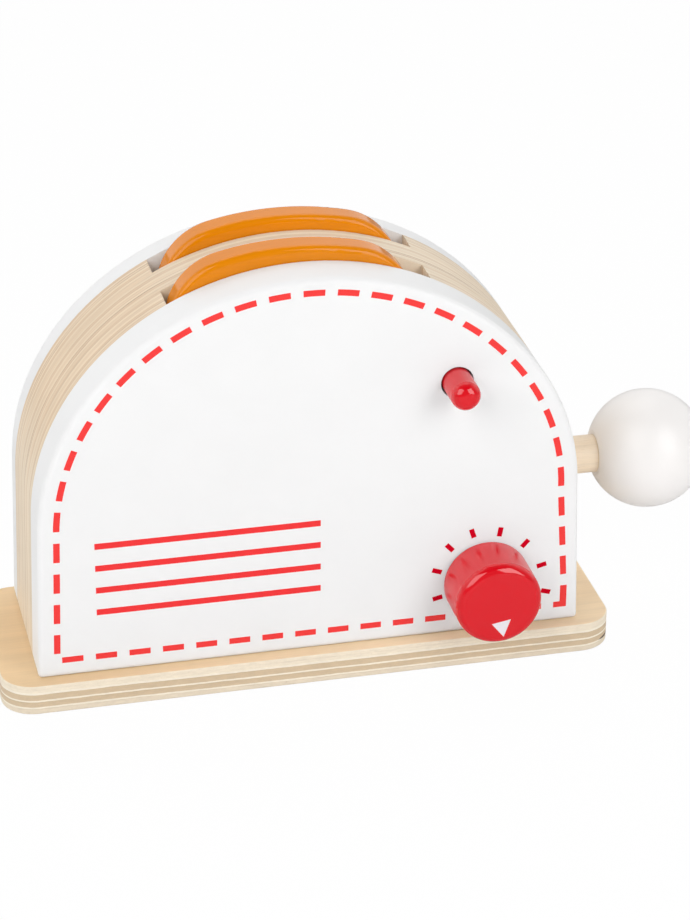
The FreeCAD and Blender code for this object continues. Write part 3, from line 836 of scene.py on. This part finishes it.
def dress_controls():
    """The toast, the lever, the button and the dial."""
    give(toast_lacquer("toast_lacquer"), "front_slice", "rear_slice")
    cream = painted("cream_paint", srgb(253, 250, 248), 0.36, coat=0.15, coat_rough=0.2,
                    bevel_mm=0.25)
    give(cream, "lever_ball")
    red = painted("red_paint", srgb(226, 2, 24), 0.34, coat=1.0, coat_rough=0.05, side_rough=0.3,
                  peel_mm=0.002, bevel_mm=0.0, coat_ior=1.65, specular=0.0,
                  bleed=srgb(206, 180, 182))
    give(red, "release_button")
    dial_knob(red)


def print_marks():
    """The red print on the white front, and the white pointer on the dial."""
    printed("print_dashes", dash_outlines(), ink("line_ink", srgb(252, 60, 58)))
    printed("print_stripes", stripe_outlines(), ink("stripe_ink", srgb(250, 52, 54)))
    printed("print_ticks", tick_outlines(), ink("tick_ink", srgb(214, 6, 34), specular=0.0))
    dial_pointer(ink("pointer_ink", srgb(240, 234, 240)))


def dress_inside():
    """The mechanism: beech, steel and coil springs."""
    lever = turned_wood("beech_lever", srgb(252, 232, 205), srgb(216, 180, 136), "x", 0.36)
    give(lever, "lever_dowel", "lift_block")
    pins = turned_wood("beech_pins", srgb(238, 212, 176), srgb(200, 162, 116), "y", 0.45)
    give(pins, "rest_pins", "frame_dowels", "dial_shaft")
    steel = metal("steel", (0.56, 0.56, 0.57), 0.3, "z")
    give(steel, "catch_tab", "guide_rods", "latch_lever", "latch_pin", "dial_washer")
    zinc = metal("zinc_screw", (0.62, 0.61, 0.58), 0.32, "z")
    give(zinc, "base_screws", "catch_screw", "dial_screw")
    wire = metal("spring_steel", (0.6, 0.6, 0.6), 0.25, "x")
    lift_springs(wire)
    small_spring("button_coil", "button_spring", BUTTON_SPRING_WIRE, wire,
                 rear_fixed=True)
    small_spring("latch_coil", "latch_spring", LATCH_SPRING_WIRE, wire,
                 rear_fixed=False)


# ---- studio -----------------------------------------------------------------

# Degrees and millimetres.
CAMERA = {"azimuth": -13.316, "elevation": 26.848, "roll": 0.298, "distance": 1002.864,
          "target": (14.89, -11.394, 69.807), "lens": 119.11, "sensor": 36.0}
CAMERA_CLIP = (0.05, 50.0)

# From here on, degrees, metres and watts.
SUBJECT = Vector((0.0, -0.01, 0.07))
SOFTBOXES = (             # name, azimuth, elevation, distance, width, height, power
    ("key_left", -52, 36, 1.35, 1.1, 1.0, 8.6),
    ("key_right", 35, 28, 1.35, 0.75, 1.1, 8.1),
    ("top_back", 176, 58, 1.5, 1.2, 0.8, 4.0),
)

WORLD_FRONT, WORLD_BACK = 0.2, 1.0
WORLD_TURN = (-0.35, 0.35)     # Y of a direction, from front to back, where one becomes the other
WORLD_OVERHEAD = 0.3
WORLD_ZENITH = (0.6, 0.85)     # Z of a direction, where it dims to the overhead value

FLOOR_SIZE = 12.0
FLOOR_DROP = 0.0002       # below the base, so that the two don't share a plane
FLOOR_GREY = 0.95         # its colour in the light
FLOOR_WHITENESS = 0.97    # how far the camera sees the floor as plain white
FLOOR_MIRRORED = 0.5      # its colour in glossy reflections


def direction(azimuth, elevation):
    """Unit vector away from the subject; azimuth 0 is in front of it, and positive to its right."""
    azimuth, elevation = math.radians(azimuth), math.radians(elevation)
    level = math.cos(elevation)
    return Vector((math.sin(azimuth) * level, -math.cos(azimuth) * level, math.sin(elevation)))


def place_camera():
    """The camera that was fitted to the photo, with its slight roll."""
    azimuth = math.radians(CAMERA["azimuth"])
    roll = math.radians(CAMERA["roll"])
    back = direction(CAMERA["azimuth"], CAMERA["elevation"])
    right = Vector((math.cos(azimuth), math.sin(azimuth), 0))
    up = back.cross(right)
    side = right * math.cos(roll) + up * math.sin(roll)
    top = up * math.cos(roll) - right * math.sin(roll)
    data = bpy.data.cameras.new("camera")
    data.lens = CAMERA["lens"]
    data.sensor_width = CAMERA["sensor"]
    data.sensor_fit = "AUTO"
    data.clip_start, data.clip_end = CAMERA_CLIP
    camera = bpy.data.objects.new("camera", data)
    bpy.context.scene.collection.objects.link(camera)
    place = (Vector(CAMERA["target"]) + back * CAMERA["distance"]) * MM
    camera.matrix_world = Matrix(((side.x, top.x, back.x, place.x),
                                  (side.y, top.y, back.y, place.y),
                                  (side.z, top.z, back.z, place.z),
                                  (0, 0, 0, 1)))
    bpy.context.scene.camera = camera


def softbox(name, azimuth, elevation, distance, width, height, power):
    """Rectangular lamp that faces the subject."""
    data = bpy.data.lights.new(name, "AREA")
    data.shape = "RECTANGLE"
    data.size, data.size_y = width, height
    data.energy = power
    lamp = bpy.data.objects.new(name, data)
    bpy.context.scene.collection.objects.link(lamp)
    away = direction(azimuth, elevation)
    lamp.location = SUBJECT + away * distance
    lamp.rotation_mode = "QUATERNION"
    lamp.rotation_quaternion = (-away).to_track_quat("-Z", "Y")
    lamp.visible_camera = False


def new_tree(owner):
    """Empty node tree of a world or a material."""
    owner.use_nodes = True
    owner.node_tree.nodes.clear()
    return owner.node_tree


def studio_world():
    """White to the camera; else white low behind the object, dim in front and overhead."""
    world = bpy.data.worlds.new("studio")
    bpy.context.scene.world = world
    tree = new_tree(world)
    add, link = tree.nodes.new, tree.links.new
    seen, given = add("ShaderNodeBackground"), add("ShaderNodeBackground")
    seen.inputs[0].default_value = given.inputs[0].default_value = (1, 1, 1, 1)
    seen.inputs[1].default_value = 1.0
    split = add("ShaderNodeSeparateXYZ")
    link(add("ShaderNodeTexCoord").outputs["Generated"], split.inputs[0])

    def band(socket, start, end, low, high):
        node = add("ShaderNodeMapRange")
        link(socket, node.inputs["Value"])
        limits = {"From Min": start, "From Max": end, "To Min": low, "To Max": high}
        for name, value in limits.items():
            node.inputs[name].default_value = value
        return node.outputs[0]

    behind = band(split.outputs["Y"], *WORLD_TURN, WORLD_FRONT, WORLD_BACK)
    overhead = band(split.outputs["Z"], *WORLD_ZENITH, 1.0, WORLD_OVERHEAD)
    strength = add("ShaderNodeMath")
    strength.operation = "MULTIPLY"
    link(behind, strength.inputs[0])
    link(overhead, strength.inputs[1])
    link(strength.outputs[0], given.inputs[1])
    choose = add("ShaderNodeMixShader")
    link(add("ShaderNodeLightPath").outputs["Is Camera Ray"], choose.inputs[0])
    link(given.outputs[0], choose.inputs[1])
    link(seen.outputs[0], choose.inputs[2])
    link(choose.outputs[0], add("ShaderNodeOutputWorld").inputs[0])


def floor():
    """Plain pale floor that reads as white and keeps only a trace of shadow."""
    half = FLOOR_SIZE / 2
    corners = [(-half, -half, 0), (half, -half, 0), (half, half, 0), (-half, half, 0)]
    data = bpy.data.meshes.new("floor")
    data.from_pydata(corners, [], [(0, 1, 2, 3)])
    plane = bpy.data.objects.new("floor", data)
    bpy.context.scene.collection.objects.link(plane)
    plane.location.z = -FLOOR_DROP
    material = bpy.data.materials.new("floor_white")
    tree = new_tree(material)
    add, link = tree.nodes.new, tree.links.new
    glow = add("ShaderNodeEmission")
    matt, dull = add("ShaderNodeBsdfDiffuse"), add("ShaderNodeBsdfDiffuse")
    matt.inputs[0].default_value = (FLOOR_GREY, FLOOR_GREY, FLOOR_GREY, 1)
    dull.inputs[0].default_value = (FLOOR_MIRRORED, FLOOR_MIRRORED, FLOOR_MIRRORED, 1)
    ray = add("ShaderNodeLightPath")
    mirrored, choose = add("ShaderNodeMixShader"), add("ShaderNodeMixShader")
    share = add("ShaderNodeMath")
    share.operation = "MULTIPLY"
    share.inputs[1].default_value = FLOOR_WHITENESS
    link(ray.outputs["Is Camera Ray"], share.inputs[0])
    link(ray.outputs["Is Glossy Ray"], mirrored.inputs[0])
    link(matt.outputs[0], mirrored.inputs[1])
    link(dull.outputs[0], mirrored.inputs[2])
    link(share.outputs[0], choose.inputs[0])
    link(mirrored.outputs[0], choose.inputs[1])
    link(glow.outputs[0], choose.inputs[2])
    link(choose.outputs[0], add("ShaderNodeOutputMaterial").inputs[0])
    data.materials.append(material)


def studio():
    """White room, pale floor, three soft lamps and the camera."""
    bpy.context.scene.view_settings.view_transform = "Standard"
    studio_world()
    floor()
    for lamp in SOFTBOXES:
        softbox(*lamp)
    place_camera()


dress_body()
dress_controls()
print_marks()
dress_inside()
studio()
